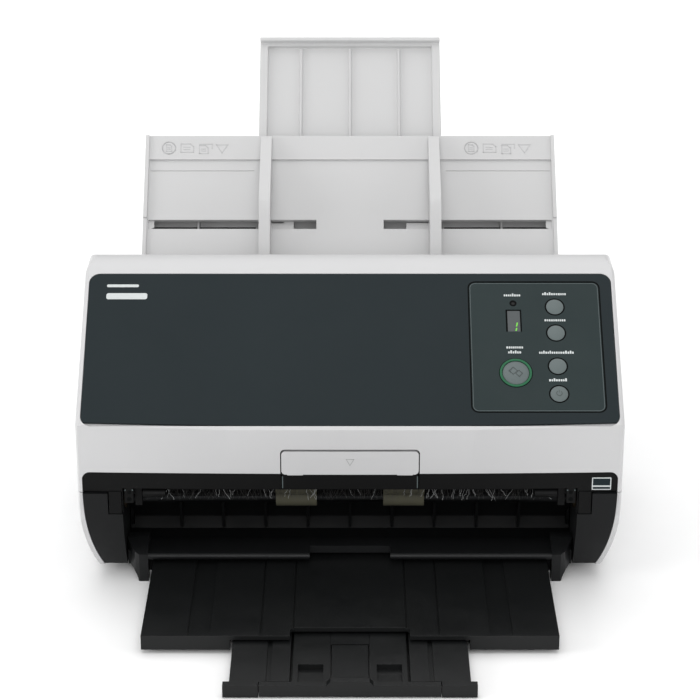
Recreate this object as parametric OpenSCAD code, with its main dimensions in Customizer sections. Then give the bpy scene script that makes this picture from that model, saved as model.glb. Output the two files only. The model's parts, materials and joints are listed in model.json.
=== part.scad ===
// Sheet-fed document scanner: a wedge-shaped desktop body with a hinged upper unit,
// a slanted feed chute with two coupled paper guides, and a three-stage output stacker.
// X runs to the right as seen from the front, Y to the back, Z up.
// The origin is on the table, under the middle of the whole machine with its trays out.

/* [Body] */
// Width of the body
body_w = 300; // [300:1:302]
// Depth of the body, without chute and stacker
body_d = 170; // [170:1:171]
// Height of the body, without the chute
body_h = 163; // [163:0.5:164]
// Height of the nose, where the front meets the sloping face
nose_z = 96; // [95:0.5:96]
// Slope of the face from the horizontal, in degrees
face_tilt = 37.5; // [37:0.5:38]
// Wall thickness of the white shells
wall = 2.5; // [2.4:0.1:2.6]
// Radius of the barrel along the top of the upper unit, round the hinge axis
barrel_r = 17; // [16.8:0.1:17]

/* [Controls] */
// Diameter of the four small buttons
button_d = 9.6; // [9:0.1:9.8]
// Outer diameter of the ring round the large button
ring_d = 17.8; // [17.6:0.1:18]
// How far a button goes in
button_travel = 0.8; // [0.5:0.1:0.8]

/* [Chute] */
// Slope of the chute from the horizontal, in degrees
chute_tilt = 46.4; // [46:0.2:46.6]
// Width of the chute
chute_w = 246; // [244:1:246]
// Length of the chute up its slope, from the foot of the hopper
chute_len = 111; // [110:1:111]
// How far the extension stands out of the chute
extension_out = 71; // [62:1:71]
// Distance from the centre to the inner face of a paper guide
guide_x = 47; // [44:0.1:50]

/* [Rollers] */
// Radius of the pick rollers
pick_r = 10; // [10:0.1:10]
// Radius of the feed rollers
feed_r = 8; // [8:0.1:8]
// Radius of the eject rollers
eject_r = 5; // [5:0.1:5]
// Radius of all three driven shafts
shaft_r = 3; // [2.8:0.1:3]

/* [Stacker] */
// Width of the stacker
stacker_w = 221; // [219:1:221]
// How far the stacker's front edge stands out from the nose
stacker_out = 75; // [70:1:75]
// How far the stacker extension stands out from the stacker
stage_out = 46; // [40:1:46]

/* [Hidden] */
$fn = 48;

white = [0.86, 0.86, 0.85];
light_grey = [0.80, 0.80, 0.79];
slate = [0.19, 0.22, 0.23];
black = [0.08, 0.08, 0.08];
steel = [0.70, 0.71, 0.72];

// Body planes
half_w = body_w / 2;
mid_y = 21.3;         // the body's middle, behind the middle of the whole machine
front_y = mid_y - body_d / 2;
back_y = mid_y + body_d / 2;
feet_y = [front_y + 52, back_y - 17];
seam_z = 57.7;        // where the upper unit ends at the front
seam_gap = 0.5;       // gap between upper unit and base
trim_top = 69.4;      // upper edge of the dark trim above the exit
sole_z = 5;           // underside of the body above the table
skin = 2.7;           // side walls of the white shells
bow_r = 4600;         // slight bow of the front in plan
plan_r = 6;           // corners in plan

// Hinge axis: the barrel touches the sloping face and the top
hinge_z = body_h - barrel_r;
hinge_y = front_y + (cos(face_tilt) * (hinge_z - nose_z) + barrel_r) / sin(face_tilt);

// Sloping face, measured up the slope from the nose
panel_w = 294;
panel_s0 = 2.7;
panel_s1 = 100.4;
panel_t = 1.6;
control_x0 = 66.5;
control_x1 = 140.4;
control_s0 = 11;
control_s1 = 95.2;
button_x = 114.8;
scan_x = 91.5;
scan_s = 36;
function_s = 78.5;
send_s = 61.5;
manual_s = 40.1;
power_s = 22.5;

// Paper path: down the chute, then along a flatter path to the exit
chute_gap = 16;       // between barrel and chute, where the sheets stand
foot_y = hinge_y + (barrel_r + chute_gap) * sin(chute_tilt);
foot_z = hinge_z - (barrel_r + chute_gap) * cos(chute_tilt);
bend_t = -46;         // place on the chute line where the path bends
path_tilt = 28;
bend_y = foot_y + bend_t * cos(chute_tilt);
bend_z = foot_z + bend_t * sin(chute_tilt);
paper_w = 224;        // width of the paper guides

function on_chute_yz(t, n) = [foot_y + t * cos(chute_tilt) - n * sin(chute_tilt),
                              foot_z + t * sin(chute_tilt) + n * cos(chute_tilt)];
function on_path_yz(t, n) = [bend_y + t * cos(path_tilt) - n * sin(path_tilt),
                             bend_z + t * sin(path_tilt) + n * cos(path_tilt)];

// Axes of the rollers
nip_gap = 0.2;
pick_c = on_chute_yz(-31, 0.5 - pick_r);
feed_c = on_path_yz(-12, -nip_gap - feed_r);
eject_c = on_path_yz(-80, -nip_gap - eject_r);
separation_r = 11;
separation_c = on_chute_yz(-34, 1.0 + separation_r);
idler_r = 5;
feed_idler_c = on_path_yz(-12, nip_gap + idler_r);
eject_idler_c = on_path_yz(-80, nip_gap + idler_r);
idler_shaft_r = 1.5;
bush_r = 5;
run_gap = 0.05;       // running clearance of a shaft in its bush

// Drive train, outside the right-hand frame plate
gear_module = 0.8;
gear_teeth = 40;
pinion_teeth = 14;
motor_dist = gear_module * (gear_teeth + pinion_teeth) / 2;
motor_dir = -50;
motor_c = feed_c + motor_dist * [cos(motor_dir), sin(motor_dir)];
pulley_share = 0.9;   // a pulley's radius over its roller's
pulley_x0 = 130;
pulley_x1 = 135;
gear_x1 = 139;
belt_t = 1;

// Frame plates and openings
frame_x = 123.6;
frame_t = 1.6;
opening_x = 125.5;    // half the width between the front pillars
shoulder_x = 126;     // inner face of the side covers
front_arc_r = 88;     // curve of the front below the seam

// Stacker
bay_z = 12;           // ceiling of the stacker's bay
stacker_top = 10.6;
stacker_bottom = 2.4;
stacker_y = front_y - stacker_out;
stacker_len = 130;
stage_w = 125.6;
stage_top = 7.2;
stage_y = stacker_y - stage_out;
stage_len = 90;
end_w = 93;
stop_w = 19;

// Chute
rim_t = 2.2;
slot_t0 = 49.9;
slot_t1 = 55.8;
guide_w = 6.6;
ext_w = 110.8;
ext_top_n = -7.5;     // face of the extension, below the paper's plane
ext_bottom_n = -12;
pinion_t = 53;        // place of the guides' pinion up the chute
rack_module = 1;
rack_pinion_teeth = 16;
rack_r = rack_module * rack_pinion_teeth / 2;
rack_x0 = -11 * PI * rack_module;
rack_count = 32;
rack_n0 = -6.6;
rack_n1 = -3.6;

// ---------------------------------------------------------------- helpers

// A YZ outline drawn out along X, from x0 to x1
module along_x(x0, x1) translate([x0, 0, 0]) rotate([90, 0, 90]) linear_extrude(x1 - x0) children();

// An XZ outline drawn out along Y, from y0 to y1
module along_y(y0, y1) translate([0, y1, 0]) rotate([90, 0, 0]) linear_extrude(y1 - y0) children();

// A box given by its corners
module block(a, b) translate(a) cube(b - a);

// A bar along X on a YZ centre
module rod_x(c, r, x0, x1) translate([x0, c[0], c[1]]) rotate([0, 90, 0]) cylinder(r = r, h = x1 - x0);

module both_sides() {
    children();
    mirror([1, 0, 0]) children();
}

// Local frames: x across, y up the slope, z out of the surface
module on_face() translate([0, front_y, nose_z]) rotate([face_tilt, 0, 0]) children();
module on_chute() translate([0, foot_y, foot_z]) rotate([chute_tilt, 0, 0]) children();
module on_path() translate([0, bend_y, bend_z]) rotate([path_tilt, 0, 0]) children();

// A rectangle with true round corners
module round_rect(x0, y0, x1, y1, r) {
    translate([x0 + r, y0]) square([x1 - x0 - 2 * r, y1 - y0]);
    translate([x0, y0 + r]) square([x1 - x0, y1 - y0 - 2 * r]);
    for (x = [x0 + r, x1 - r], y = [y0 + r, y1 - r]) translate([x, y]) circle(r);
}

// Outline of a toothed wheel with straight flanks and some backlash
function wheel_points(teeth, m) = [
    for (i = [0 : teeth - 1], p = [[-0.31, -1.15], [-0.12, 0.85], [0.12, 0.85], [0.31, -1.15]])
        let (r = m * (teeth / 2 + p[1]), a = 360 / teeth * (i + p[0])) r * [cos(a), sin(a)]];

// Outline of a rack's toothed edge along x, teeth pointing down from y = 0
function rack_points(x0, count, m, back) = concat(
    [[x0, back]],
    [for (i = [0 : count - 1], p = [[-0.3, 1.15], [-0.11, -0.85], [0.11, -0.85], [0.3, 1.15]])
        [x0 + PI * m * (i + 0.5 + p[0]), m * p[1]]],
    [[x0 + PI * m * count, back]]);

// ---------------------------------------------------------------- body outlines

// The body from the front: straight sides that curve in below the seam
module front_outline(inset = 0) {
    side_arc = 165;
    x = half_w - inset;
    translate([-x, seam_z]) square([2 * x, 200]);
    intersection() {
        translate([-x, 0]) square([2 * x, seam_z]);
        translate([side_arc - half_w, seam_z]) circle(side_arc - inset, $fn = 240);
        translate([half_w - side_arc, seam_z]) circle(side_arc - inset, $fn = 240);
    }
}

// Everything behind a slightly bowed front whose middle is at y
module bowed(y) {
    side = half_w + 3;
    polygon(concat(
        [for (i = [-7 : 7]) let (x = i * side / 7) [x, y + x * x / (2 * bow_r)]],
        [[side, y + 400], [-side, y + 400]]));
}

// The body from above: round corners and a slightly bowed front
module plan_outline(inset = 0) intersection() {
    round_rect(-half_w + inset, front_y + inset, half_w - inset, back_y - inset, plan_r - inset);
    bowed(front_y + inset);
}

module body_limits(inset = 0) {
    intersection() {
        children();
        along_y(front_y - 1, back_y + 1) front_outline(inset);
        linear_extrude(200) plan_outline(inset);
    }
}

// Upper unit from the side, down to the seam; in shrinks it evenly
function face_point(s, n) = [front_y + s * cos(face_tilt) - n * sin(face_tilt),
                             nose_z + s * sin(face_tilt) + n * cos(face_tilt)];
touch_s = (hinge_y - front_y) * cos(face_tilt) + (hinge_z - nose_z) * sin(face_tilt);
seam_bend = [front_y + 18, seam_z];
function on_barrel(a, r) = [hinge_y + r * cos(a), hinge_z + r * sin(a)];

module upper_side(in = 0) {
    nose_r = 5;
    lean = 90 - face_tilt;                         // turn from the front to the face
    cut = nose_r * tan(lean / 2);
    centre = [front_y + nose_r, nose_z - cut];
    polygon([
        [front_y + in, seam_z],
        for (a = [0 : lean / 6 : lean]) centre + (nose_r - in) * [-cos(a), sin(a)],
        face_point(touch_s, -in),
        [hinge_y, hinge_z],
        on_barrel(215, barrel_r - in),
        seam_bend]);
    translate([hinge_y, hinge_z]) circle(barrel_r - in);
}

// Base from the side, from the sole to the seam and the shoulder behind the barrel
module base_side(in = 0, gap = 0) {
    shoulder = on_barrel(-20, barrel_r + seam_gap);
    back_top = 110;
    difference() {
        union() {
            intersection() {
                translate([front_y - 1, sole_z]) square([body_d + 1 - in, seam_z - seam_gap - in - sole_z]);
                translate([front_y + 0.8 + in + front_arc_r, seam_z]) circle(front_arc_r, $fn = 180);
            }
            polygon([
                [front_y + 30, sole_z], [back_y - in, sole_z], [back_y - in, back_top - 6 - in],
                [back_y - 6 - in, back_top - in], shoulder - [0, in], [hinge_y, hinge_z - 4 - in],
                on_barrel(215, barrel_r) + (seam_gap + in) * [0.8, -0.6], seam_bend + [0.2, -seam_gap - in],
                [front_y + 30, seam_z - seam_gap - in - 2]]);
        }
        translate([hinge_y, hinge_z]) circle(barrel_r + seam_gap + in);
    }
}

// ---------------------------------------------------------------- base

module base_tray() color(black) {
    rail_x = stacker_w / 2 + 0.6;
    bay_end = back_y - 27;
    difference() {
        body_limits(skin + 0.3) block([-half_w, front_y + 19, sole_z], [half_w, back_y - 3, bay_z + 2.4]);
        block([-rail_x, front_y, 0], [rail_x, bay_end, bay_z]);
        both_sides() block([opening_x - 0.3, front_y, 0], [half_w, front_y + 38.3, 20]);
        for (x = [-128, 128], y = feet_y) translate([x, y, 0]) cylinder(r = 2.1, h = 9);
    }
    // lips that carry the stacker's flanges
    both_sides() block([rail_x - 4, front_y + 19, 0.9], [rail_x + 0.5, bay_end, 2.3]);
    both_sides() block([rail_x, front_y + 19, 0.9], [rail_x + 3, bay_end, sole_z + 1]);
}

module side_cover() color(white) {
    inner = half_w - skin;
    roof = [hinge_y + 12, 112];
    difference() {
        body_limits() along_x(shoulder_x, half_w) base_side();
        // hollow, open at the front and towards the frame up to the shoulder beside the chute
        intersection() {
            along_y(front_y - 3, back_y) front_outline(skin);
            along_x(shoulder_x - 1, half_w) {
                difference() {
                    base_side(wall);
                    translate(roof) square([100, 60]);
                }
                translate([front_y - 2, -1]) square([41, seam_z + 2]);
            }
        }
        along_x(shoulder_x + wall, inner - 0.3) intersection() {
            base_side(wall);
            translate(roof - [1, 1]) square([100, 60]);
        }
        intersection() {
            along_y(front_y - 3, back_y) front_outline(skin + 2);
            block([shoulder_x - 1, front_y - 2, 0], [half_w, back_y - 3, sole_z + 12]);
        }
    }
}
module right_side_cover() side_cover();
module left_side_cover() mirror([1, 0, 0]) side_cover();

module front_pillar() color(black) {
    inner_x = opening_x + 3;
    outer_x = half_w - skin - 0.3;
    pillar_back = front_y + 38;
    difference() {
        intersection() {
            along_x(opening_x, outer_x) base_side();
            along_y(front_y - 1, pillar_back) front_outline(skin + 0.3);
            block([opening_x, front_y - 1, bay_z - 6], [half_w, pillar_back, seam_z]);
        }
        // hollow for the eject pulley and its belt
        intersection() {
            along_y(front_y, pillar_back + 1) front_outline(skin + 3.3);
            union() {
                along_x(inner_x, half_w) intersection() {
                    base_side(wall);
                    translate([front_y + 8, bay_z + 3]) square([31, 60]);
                }
                block([inner_x, front_y + 8, 40], [half_w, pillar_back + 1, seam_z + 1]);
            }
        }
        // recess for the tab of the upper unit's trim
        block([opening_x - 1, front_y - 1, 44.2], [opening_x + 8, front_y + 5.8, seam_z + 1]);
        rod_x(eject_c, bush_r, opening_x - 1, inner_x + 1);
    }
    // catch for the latch claw
    block([opening_x - 6, front_y + 12, 51.8], [opening_x, front_y + 14.5, 54.8]);
}
module right_front_pillar() front_pillar();
module left_front_pillar() mirror([1, 0, 0]) front_pillar();

module rear_cover() color(white) {
    roof_y = back_y - 39;
    difference() {
        along_x(-shoulder_x + 0.3, shoulder_x - 0.3) polygon([
            [back_y, sole_z + 1], [back_y, 104], [back_y - 4, 108], [roof_y, 115.5], [roof_y, 113],
            [back_y - 5, 105.6], [back_y - wall, 103], [back_y - wall, sole_z + 1]]);
        socket_openings(0.4);
        // ventilation slots
        for (i = [0 : 11]) block([20 + 6 * i, back_y - 4, 40], [23 + 6 * i, back_y + 1, 78]);
        // anchor slot for a security lock
        block([-113, back_y - 4, 60], [-110, back_y + 1, 67]);
    }
}

module socket_openings(grow) {
    translate([-98, back_y + 1, 28]) rotate([90, 0, 0]) cylinder(r = 5 + grow, h = 6);
    block([-83 - grow, back_y - 5, 22 - grow], [-71 + grow, back_y + 1, 33 + grow]);
    block([-60 - grow, back_y - 5, 21 - grow], [-44 + grow, back_y + 1, 34 + grow]);
}

module rear_sockets() color(black) {
    depth = 9;
    translate([-98, back_y - 0.6, 28]) rotate([90, 0, 0]) difference() {
        cylinder(r = 5, h = depth - 0.6);
        translate([0, 0, -1]) cylinder(r = 3.2, h = depth - 1);
    }
    translate([-98, back_y - 0.6, 28]) rotate([90, 0, 0]) cylinder(r = 1, h = depth - 1);
    difference() {
        block([-83, back_y - depth, 22], [-71, back_y - 0.6, 33]);
        block([-81.5, back_y - depth + 2, 23.5], [-72.5, back_y, 31.5]);
    }
    block([-80, back_y - depth + 1, 25.8], [-74, back_y - 2, 29.2]);
    difference() {
        block([-60, back_y - depth, 21], [-44, back_y - 0.6, 34]);
        block([-58, back_y - depth + 2, 23], [-46, back_y, 30]);
        block([-55, back_y - depth + 2, 29], [-49, back_y, 32.5]);
    }
}

module exit_deck() color(black) {
    bar_y = front_y + 7;
    bar_x = 113;
    arm_z = 17;
    difference() {
        union() {
            along_x(-opening_x + 0.4, opening_x - 0.4) polygon([
                [bar_y + 12, 14.6], [bar_y + 32, 17.5], [bar_y + 36.5, 23], [bar_y + 26, 43],
                [bar_y + 27.5, 44.5], [bar_y + 39.5, 23], [bar_y + 35, 15], [bar_y + 18, 14.6]]);
            along_x(-bar_x, bar_x) {
                polygon([[bar_y + 2, 12.8], [bar_y + 11.6, 12.8], [bar_y + 11.6, 14.7], [bar_y + 20, 14.7],
                         [bar_y + 20, 17.3], [bar_y + 2, 17]]);
                translate([bar_y + 2.1, 14.9]) circle(2.1);
            }
            // ribs down the inner wall
            for (x = [-96 : 24 : 96]) along_x(x - 0.8, x + 0.8)
                polygon([[bar_y + 31, 18.5], [bar_y + 37.5, 23.5], [bar_y + 26.6, 44], [bar_y + 24.6, 43.4]]);
        }
        // notch for pulling the stacker out, and room for the frame plates
        block([-22.6, bar_y - 1, 10], [22.6, bar_y + 10, 20]);
        both_sides() block([frame_x - 0.4, front_y + 40.4, 10], [opening_x, front_y + 60, 50]);
    }
    // sloping arms at both ends of the bar, which stand on the table
    both_sides() difference() {
        linear_extrude(arm_z + 6) polygon([
            [bar_x, bar_y], [bar_x + 5, bar_y], [bar_x + 7.5, bar_y + 2], [opening_x - 0.4, bar_y + 11],
            [opening_x - 0.4, bar_y + 18], [bar_x, bar_y + 18]]);
        along_x(bar_x - 1, opening_x + 1) polygon([
            [bar_y - 1, arm_z - 1], [bar_y + 1.5, arm_z + 0.4], [bar_y + 12, arm_z + 5],
            [bar_y + 20, arm_z + 5], [bar_y + 20, arm_z + 9], [bar_y - 1, arm_z + 9]]);
        block([bar_x - 1, bar_y + 8, -1], [opening_x + 1, bar_y + 20, bay_z + 2.6]);
        along_y(bar_y - 1, bar_y + 20) polygon([
            [bar_x + 5.6, -1], [bar_x + 5.9, 1.5], [bar_x + 6.8, 3.8], [bar_x + 8.4, 5.8],
            [bar_x + 10.5, 6.8], [opening_x + 1, 7.2], [opening_x + 1, -1]]);
    }
}

// Openings in the guides where the rollers reach the paper
pick_span = [8, 26];
feed_span = [34, 62];
eject_span = [18.5, 41.2];
module roller_openings(c, r, span) both_sides() rod_x(c, r + 1.2, span[0] - 1.5, span[1] + 1.5);

module lower_guide() color(black) {
    w = paper_w / 2 + 9.5;
    difference() {
        union() {
            on_path() block([-w, -74, -3.4], [w, -1.6, -1.2]);
            on_chute() block([-w, bend_t + 1.6, -3.2], [w, -1.5, -1]);
            on_path() for (x = [-98 : 14 : 98]) block([x - 0.6, -72, -1.3], [x + 0.6, -60, -0.5]);
            on_path() for (x = [-98 : 14 : 98]) block([x - 0.6, -24, -1.3], [x + 0.6, -2, -0.5]);
        }
        on_path() block([-108, -54, -5], [108, -32, 1]);
        roller_openings(pick_c, pick_r, pick_span);
        roller_openings(feed_c, feed_r, feed_span);
        roller_openings(eject_c, eject_r, eject_span);
    }
    // web at the bend, joining the two plates
    along_x(-w, w) polygon([on_path_yz(-4, -3.2), on_path_yz(-1.6, -1.4), on_chute_yz(bend_t + 3, -1.4),
                            on_chute_yz(bend_t + 5, -3)]);
}

module optical_unit(side) color(black) on_path() difference() {
    block([-112, -57, min(side * 3.8, side * 26)], [112, -29, max(side * 3.8, side * 26)]);
    // stepped well under the glass
    block([-106, -52, side > 0 ? 0 : -19], [106, -34, side > 0 ? 19 : 0]);
}
module lower_optical_unit() optical_unit(-1);
module upper_optical_unit() optical_unit(1);
module lower_glass() color([0.6, 0.7, 0.7, 0.5]) on_path() block([-107.4, -53.4, -3.7], [107.4, -32.6, -1.7]);
module upper_glass() color([0.6, 0.7, 0.7, 0.5]) on_path() block([-107.4, -53.4, 1.7], [107.4, -32.6, 3.7]);

module main_frame() color(steel) {
    rear_y = back_y - 9;
    low_y = front_y + 41;
    floor_z = bay_z + 3;
    both_sides() difference() {
        along_x(frame_x, frame_x + frame_t) difference() {
            union() {
                polygon([[low_y, floor_z], [rear_y, floor_z], [rear_y, 100], [back_y - 41, 108],
                         [hinge_y + 18, 98], [hinge_y + 7, 118], [hinge_y + 2, hinge_z],
                         [hinge_y - 9, hinge_z - 8], [low_y + 18, 76], [low_y, 52]]);
                translate([hinge_y, hinge_z]) circle(8);
            }
            translate([hinge_y, hinge_z]) circle(4);
            translate([back_y - 40, 45]) circle(14);
        }
        for (c = [pick_c, feed_c]) rod_x(c, bush_r, frame_x - 1, frame_x + 4);
        rod_x(motor_c, 6, frame_x - 1, frame_x + 4);
    }
    block([-frame_x, rear_y - frame_t, floor_z], [frame_x, rear_y, 98]);
    block([-frame_x, low_y + 6, floor_z], [frame_x, rear_y, floor_z + frame_t]);
}

module shaft_bushes() color([0.78, 0.66, 0.42]) both_sides() {
    for (c = [pick_c, feed_c]) difference() {
        union() {
            rod_x(c, bush_r, frame_x, frame_x + frame_t);
            rod_x(c, bush_r + 1.5, frame_x - 1.5, frame_x);
        }
        rod_x(c, shaft_r + run_gap, frame_x - 2, frame_x + frame_t + 1);
    }
    difference() {
        union() {
            rod_x(eject_c, bush_r, opening_x, opening_x + 3);
            difference() {
                rod_x(eject_c, bush_r + 1, opening_x - 1.2, opening_x);
                block([opening_x - 2, eject_c[0] - 9, eject_c[1] + 3.6],
                      [opening_x + 1, eject_c[0] + 9, eject_c[1] + 9]);
            }
        }
        rod_x(eject_c, shaft_r + run_gap, opening_x - 2, opening_x + 4);
    }
}

module feed_motor() color(steel) {
    rod_x(motor_c, 13.5, 96, frame_x - 1.6);
    rod_x(motor_c, 5.8, frame_x - 1.6, frame_x + frame_t + 1);
    along_x(frame_x - 1.6, frame_x) {
        translate(motor_c - [13.5, 3]) square([27, 6]);
        translate(motor_c) circle(13.5);
    }
}

module main_board() color([0.10, 0.30, 0.18]) {
    y = back_y - 17;
    block([-108, y, 21], [60, y + 1.6, 92]);
    for (x = [-102, 54], z = [26, 86]) translate([x, y + 6.4, z]) rotate([90, 0, 0]) cylinder(r = 3, h = 4.8);
    block([-70, y - 2.4, 50], [-46, y, 74]);
    block([-30, y - 2, 40], [-14, y, 58]);
    block([0, y - 1.8, 60], [22, y, 76]);
    for (i = [0 : 3]) translate([-100 + 9 * i, y, 66]) rotate([90, 0, 0]) cylinder(r = 3.4, h = 9);
}

module rubber_feet() color([0.15, 0.15, 0.15]) for (x = [-128, 128], y = feet_y) translate([x, y, 0]) {
    cylinder(r = 9, h = sole_z);
    translate([0, 0, sole_z - 0.5]) cylinder(r = 2, h = 4);
}

module case_screws() color(steel) {
    for (x = [-95, -40, 40, 95]) translate([x, back_y - 13, sole_z - 1.2]) screw_up();
    for (x = [-118, 118]) translate([x, back_y + 1.4, 92]) rotate([90, 0, 0]) screw_up();
}
module screw_up() {
    difference() {
        cylinder(r = 3, h = 1.2);
        for (a = [0, 90]) rotate(a) block([-1.9, -0.35, -1], [1.9, 0.35, 0.7]);
    }
}

module hinge_pins() color(steel) both_sides() {
    rod_x([hinge_y, hinge_z], 4, frame_x - 2, half_w - skin - 0.8);
    rod_x([hinge_y, hinge_z], 6, frame_x - 3.5, frame_x - 2);
}

// ---------------------------------------------------------------- drive train

module pulley(c, roller_r) difference() {
    union() {
        rod_x(c, pulley_share * roller_r, pulley_x0, pulley_x1);
        for (x = [pulley_x0 - 1, pulley_x1]) rod_x(c, pulley_share * roller_r + 1.3, x, x + 1);
    }
    rod_x(c, shaft_r, pulley_x0 - 2, pulley_x1 + 2);
}
module pick_pulley() color(black) pulley(pick_c, pick_r);
module eject_pulley() color(black) pulley(eject_c, eject_r);

// Toothed wheel and pulley moulded in one
module feed_gear() color(white) {
    pulley(feed_c, feed_r);
    along_x(pulley_x1 + 1, gear_x1) translate(feed_c) difference() {
        rotate(motor_dir) polygon(wheel_points(gear_teeth, gear_module));
        circle(shaft_r);
    }
}

module motor_pinion() color([0.78, 0.66, 0.42]) {
    along_x(pulley_x1 + 1.2, gear_x1 + 1) translate(motor_c) rotate(motor_dir + 180 + 180 / pinion_teeth)
        polygon(wheel_points(pinion_teeth, gear_module));
    rod_x(motor_c, 2, frame_x + frame_t + 1.2, pulley_x1 + 1.2);
}

module drive_belt() color(black) along_x(pulley_x0 + 0.3, pulley_x1 - 0.3) difference() {
    hull() belt_circles(belt_t + 0.1);
    hull() belt_circles(0.1);
}
module belt_circles(grow) {
    for (p = [[pick_c, pick_r], [feed_c, feed_r], [eject_c, eject_r]])
        translate(p[0]) circle(pulley_share * p[1] + grow, $fn = 64);
}

module shaft(c, x0) color(steel) rod_x(c, shaft_r, -x0, gear_x1 + 1);
module pick_shaft() shaft(pick_c, frame_x + frame_t + 1);
module feed_shaft() shaft(feed_c, frame_x + frame_t + 1);
module eject_shaft() shaft(eject_c, opening_x + 2.5);

module rubber_rollers(c, r, span) color([0.22, 0.21, 0.17]) both_sides() difference() {
    rod_x(c, r, span[0], span[1]);
    rod_x(c, shaft_r, span[0] - 1, span[1] + 1);
}
module pick_rollers() rubber_rollers(pick_c, pick_r, pick_span);
module feed_rollers() rubber_rollers(feed_c, feed_r, feed_span);
module eject_rollers() rubber_rollers(eject_c, eject_r, eject_span);

// ---------------------------------------------------------------- upper unit

// The hollow inside the upper unit, open below
module cover_hollow(floor_n) difference() {
    union() {
        upper_side(wall);
        polygon([
            [front_y + wall, seam_z - 10], [front_y + wall, seam_z + 3], on_barrel(215, barrel_r - wall - 2),
            [hinge_y, hinge_z - 2], on_barrel(-44, barrel_r - wall - 2), on_barrel(-44, barrel_r + 40),
            [hinge_y, seam_z - 10]]);
    }
    // floor of the recess for the dark panel
    polygon([face_point(-6, 4), face_point(-6, floor_n), face_point(104, floor_n), face_point(104, 4)]);
}

module cover_shell() color(white) {
    recess = 1.8;
    ear_x = frame_x - 2.5;
    inner_x = half_w - skin;
    difference() {
        union() {
            difference() {
                cover_limits() along_x(-half_w - 1, half_w + 1) upper_side();
                along_x(-inner_x, inner_x) cover_hollow(-recess - 2);
            }
            both_sides() rod_x([hinge_y, hinge_z], 8, half_w - 17, inner_x + 1);
        }
        on_face() translate([0, 0, -recess]) linear_extrude(10)
            round_rect(-panel_w / 2 - 0.3, panel_s0 - 0.3, panel_w / 2 + 0.3, panel_s1 + 0.3, 6.3);
        on_face() block([control_x0 + 3, control_s0 + 3, -10], [control_x1 - 3, control_s1 - 3, 1]);
        // openings for the dark trim and the latch
        along_y(front_y - 1, front_y + 17) round_rect(-inner_x, seam_z - 20, inner_x, trim_top + 0.3, 4.5);
        along_y(front_y - 2, front_y + 4) round_rect(-38.2, seam_z - 3, 38.2, 84.2, 2.6);
        both_sides() rod_x([hinge_y, hinge_z], 4 + run_gap, half_w - 18, inner_x);
        // room for the hinge ears of the frame
        both_sides() along_x(ear_x, half_w - 18) polygon([
            [hinge_y, hinge_z], on_barrel(0, 30), on_barrel(-45, 30), on_barrel(-90, 30)]);
    }
}

// Round upper edges, open above by the height over the surface
module edge_outline(r, top) {
    round_rect(-half_w, top - 200, half_w, top, r);
}

// Round edges of the upper unit: along the slope, over the barrel and in plan
module cover_limits() {
    edge_r = 3.2;
    top_r = 8;
    intersection() {
        children();
        linear_extrude(200) plan_outline();
        on_face() translate([0, 170, 0]) rotate([90, 0, 0]) linear_extrude(260) edge_outline(edge_r, 0);
        along_y(front_y - 1, back_y) edge_outline(top_r, body_h);
    }
}

module cover_panel() color(slate) on_face() translate([0, 0, -panel_t]) linear_extrude(panel_t) difference() {
    intersection() {
        round_rect(-panel_w / 2, panel_s0, panel_w / 2, panel_s1, 6);
        bowed(panel_s0 - 0.2);
    }
    round_rect(control_x0, control_s0, control_x1, control_s1, 4);
}

module control_panel() color(slate) on_face() translate([0, 0, -1.7]) linear_extrude(1.5) difference() {
    round_rect(control_x0 + 0.5, control_s0 + 0.5, control_x1 - 0.5, control_s1 - 0.5, 3.5);
    for (s = [function_s, send_s, manual_s, power_s]) translate([button_x, s]) circle(button_d / 2 + 0.35);
    translate([scan_x, scan_s]) circle(ring_d / 2 + 0.1);
    translate([scan_x - 4.4, 62.5]) square([8.8, 14.4]);
    translate([scan_x, 81]) circle(1.1);
}

module display_window() color([0.3, 0.33, 0.34]) on_face()
    translate([scan_x - 4.2, 62.7, -1.9]) cube([8.4, 14, 1.4]);
module status_lamp() color([0.2, 0.2, 0.2]) on_face() translate([scan_x, 81, -2.4]) cylinder(r = 1, h = 2);

// A cap with a slight dome and a flange that keeps it in. Pressed right in, it lies just below the panel
module button_cap(s, x, r) color([0.47, 0.50, 0.50]) on_face() translate([x, s, 0]) {
    dome_r = r * 4;
    intersection() {
        translate([0, 0, -3.2]) cylinder(r = r, h = 5);
        translate([0, 0, button_travel - 0.1 - dome_r]) sphere(r = dome_r, $fn = 120);
    }
    translate([0, 0, -4.2]) cylinder(r = r + 0.9, h = 1.0);
}
module function_button() button_cap(function_s, button_x, button_d / 2);
module send_button() button_cap(send_s, button_x, button_d / 2);
module manual_feed_button() button_cap(manual_s, button_x, button_d / 2);
module power_button() button_cap(power_s, button_x, button_d / 2);
module scan_button() button_cap(scan_s, scan_x, ring_d / 2 - 1.6);
module scan_ring() color([0.05, 0.45, 0.2]) on_face() translate([scan_x, scan_s, -2.4]) difference() {
    cylinder(r = ring_d / 2, h = 2.6);
    translate([0, 0, -1]) cylinder(r = ring_d / 2 - 1.35, h = 5);
}

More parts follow.
